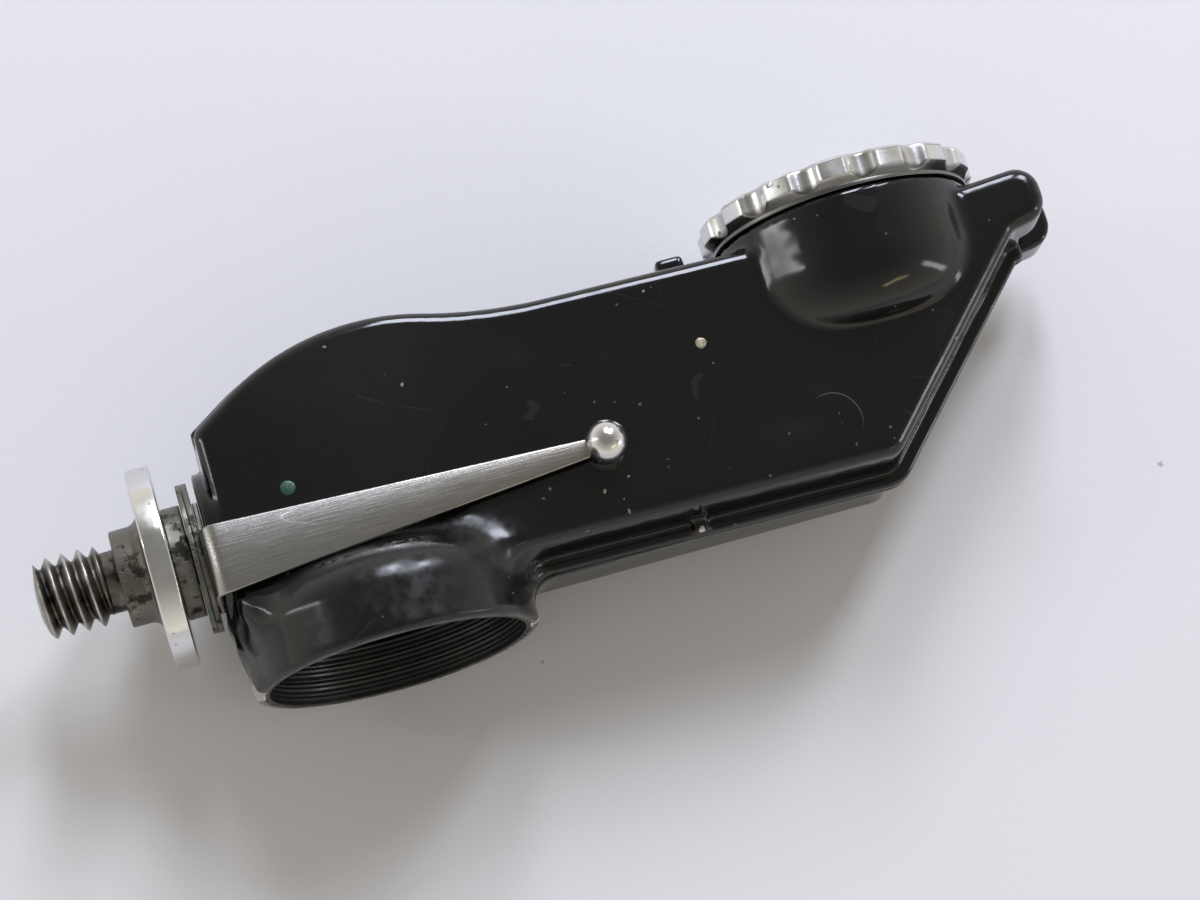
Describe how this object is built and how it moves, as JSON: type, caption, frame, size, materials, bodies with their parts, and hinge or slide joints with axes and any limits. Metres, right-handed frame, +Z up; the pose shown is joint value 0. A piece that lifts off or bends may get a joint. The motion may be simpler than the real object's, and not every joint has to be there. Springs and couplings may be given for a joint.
{
  "type": "pocket rangefinder",
  "caption": "Pocket rangefinder: folded hand telescope in a black cast housing, with a scalloped focusing ring, spring pocket clip and threaded mounting stud.",
  "frame": {"origin": "centre of the bounding box on the surface that the instrument lies on", "axes": "+X runs along the housing from the mounting stud to the lugs, +Y is the way the eyepiece looks out, with the objective towards -Y, and +Z points up, through the flat face that carries the pocket clip"},
  "size_m": [0.0856, 0.0272, 0.0228],
  "materials": {
    "black_enamel": "glossy black enamel on a die casting, lightly scratched",
    "spring_steel": "brushed bare spring steel",
    "polished_steel": "smooth worn steel",
    "bright_plate": "satin plated metal with bright flutes",
    "pitted_zinc": "dull pitted metal with verdigris",
    "dark_steel": "dark oxidised steel",
    "brass": "tarnished brass",
    "black_brass": "blackened brass, matt",
    "optical_glass": "clear polished glass",
    "silvered_glass": "front silvered glass"
  },
  "bodies": {
    "housing": {"front_shell": "black_enamel", "rear_shell": "black_enamel", "front_housing_screw": "brass", "rear_housing_screw": "brass", "guide_pin": "dark_steel", "objective_cell": "black_brass", "objective_crown_lens": "optical_glass", "objective_flint_lens": "optical_glass", "objective_retaining_ring": "black_brass", "front_mirror": "silvered_glass", "front_mirror_bracket": "dark_steel", "reticle_cell": "black_brass", "reticle_disc": "optical_glass", "erector_cell": "black_brass", "erector_lens": "optical_glass", "rear_mirror": "silvered_glass", "rear_mirror_bracket": "dark_steel", "thrust_washer": "dark_steel", "clip_washer_outer": "pitted_zinc", "clip_washer_inner": "pitted_zinc", "clip_tab": "spring_steel", "index_block": "black_enamel"},
    "focus_ring": {"focus_ring": "bright_plate", "ring_retainer": "black_brass"},
    "eyepiece": {"eyepiece_tube": "black_brass", "field_lens": "optical_glass", "lens_spacer": "black_brass", "eye_lens": "optical_glass", "eye_cap": "black_brass"},
    "stud": {"mounting_stud": "dark_steel", "stud_hub": "pitted_zinc", "thumb_disc": "bright_plate", "stud_collar": "pitted_zinc", "stud_nut": "brass"},
    "clip": {"clip_arm": "spring_steel", "clip_ball": "polished_steel"}
  },
  "joints": [
    {"name": "focus_turn", "type": "hinge", "parent": "housing", "child": "focus_ring", "pos_m": [0.02601, 0.01232, 0.0114], "axis": [0, 1, 0], "range_deg": [-120, 120]},
    {"name": "eyepiece_slide", "type": "slide", "parent": "housing", "child": "eyepiece", "axis": [0, 1, 0], "range_m": [-0.001, 0.001]},
    {"name": "stud_swivel", "type": "hinge", "parent": "housing", "child": "stud", "pos_m": [-0.02809, -0.00148, 0.0114], "axis": [1, 0, 0], "continuous": true},
    {"name": "clip_flex", "type": "hinge", "parent": "housing", "child": "clip", "pos_m": [-0.02814, -0.00368, 0.0177], "axis": [0, -1, 0], "range_deg": [0, 6], "stiffness_Nm_per_rad": 0.9, "springref_deg": -2.01}
  ],
  "couplings": [
    {"joint": "focus_turn", "follows": "eyepiece_slide", "rad_per_m": 2094.4}
  ]
}
